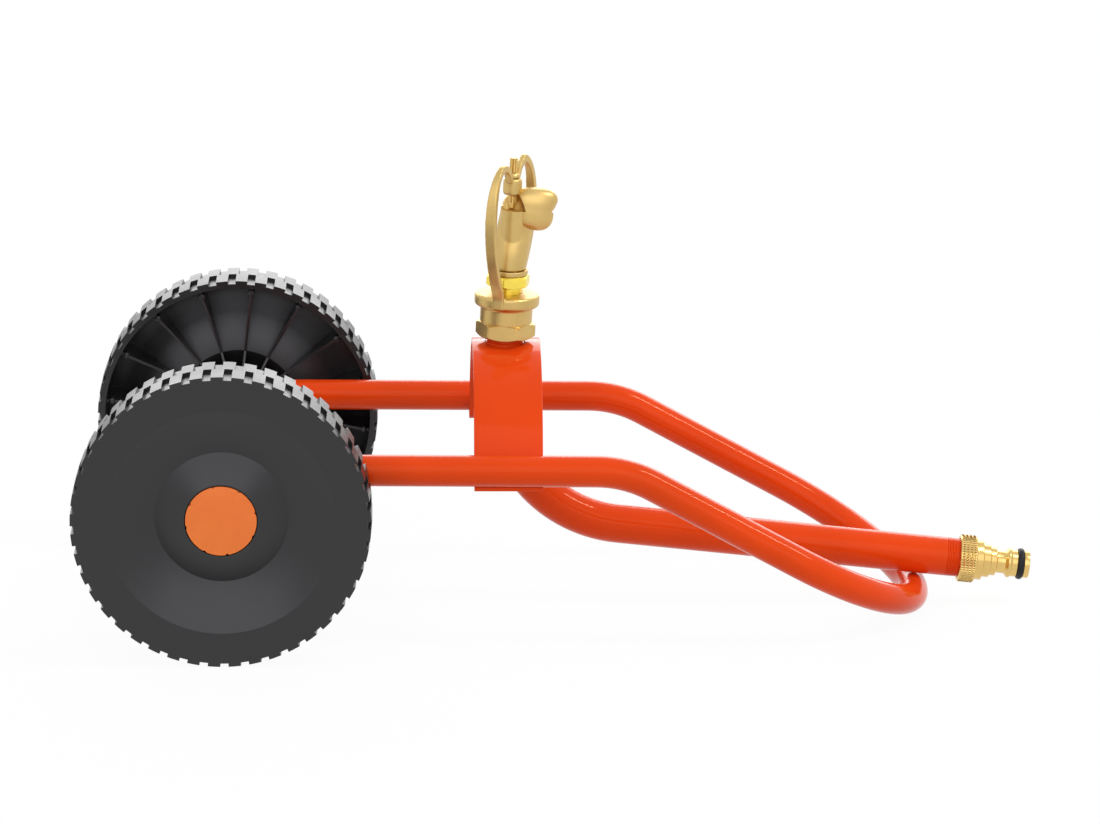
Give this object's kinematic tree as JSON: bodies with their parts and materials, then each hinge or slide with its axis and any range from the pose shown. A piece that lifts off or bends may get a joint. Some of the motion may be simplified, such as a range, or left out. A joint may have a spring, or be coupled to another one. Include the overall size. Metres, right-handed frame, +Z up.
{
  "type": "sprinkler sled",
  "caption": "Wheeled tube sled that carries a brass rotating sprinkler on a stand pipe, fed through a quick-connect hose nipple at its sliding nose.",
  "frame": {"origin": "On the ground, on the middle plane, half way between the back of the wheels and the front of the hose nipple", "axes": "+X runs from the axle to the hose end, +Y to the left wheel, +Z up"},
  "size_m": [0.6582, 0.3144, 0.315],
  "materials": {
    "red_paint": "glossy powder coat",
    "black_plastic": "moulded, satin",
    "orange_plastic": "moulded, semi-gloss",
    "white_nylon": "moulded, plain",
    "black_rubber": "matt",
    "zinc_steel": "zinc plated",
    "cast_brass": "satin, as cast",
    "turned_brass": "turned, polished"
  },
  "bodies": {
    "frame": {"frame_tube": "red_paint", "tube_end_plug_left": "black_plastic", "tube_end_plug_right": "black_plastic", "axle_tube": "red_paint", "riser_bracket": "red_paint", "supply_pipe": "red_paint", "axle_rod": "zinc_steel", "axle_washer_inner_left": "zinc_steel", "axle_washer_inner_right": "zinc_steel", "axle_washer_outer_left": "zinc_steel", "axle_washer_outer_right": "zinc_steel", "axle_push_nut_left": "zinc_steel", "axle_push_nut_right": "zinc_steel", "hose_nipple": "turned_brass", "nipple_seal": "black_rubber", "inlet_washer": "black_rubber", "sprinkler_frame": "cast_brass", "bearing_nut": "turned_brass", "spindle_seal": "white_nylon", "screw_collar": "cast_brass"},
    "left_wheel": {"wheel_left": "black_plastic", "wheel_bush_left_inner": "white_nylon", "wheel_bush_left_outer": "white_nylon", "hub_cap_left": "orange_plastic"},
    "right_wheel": {"wheel_right": "black_plastic", "wheel_bush_right_inner": "white_nylon", "wheel_bush_right_outer": "white_nylon", "hub_cap_right": "orange_plastic"},
    "rotor": {"rotor_body": "cast_brass", "rotor_spindle": "turned_brass", "thrust_ring": "cast_brass"},
    "adjuster": {"adjusting_screw": "turned_brass", "pivot_bush": "turned_brass"}
  },
  "joints": [
    {"name": "wheel_left_spin", "type": "hinge", "parent": "frame", "child": "left_wheel", "pos_m": [-0.2291, 0.1364, 0.1], "axis": [0, 1, 0], "continuous": true},
    {"name": "wheel_right_spin", "type": "hinge", "parent": "frame", "child": "right_wheel", "pos_m": [-0.2291, -0.1364, 0.1], "axis": [0, 1, 0], "continuous": true},
    {"name": "rotor_spin", "type": "hinge", "parent": "frame", "child": "rotor", "pos_m": [-0.03789, 0, 0.24056], "axis": [0.0401, 0, 0.9992], "continuous": true},
    {"name": "adjuster_turn", "type": "hinge", "parent": "frame", "child": "adjuster", "pos_m": [-0.03549, 0, 0.30051], "axis": [0.0401, 0, 0.9992], "range_deg": [0, 240]}
  ]
}
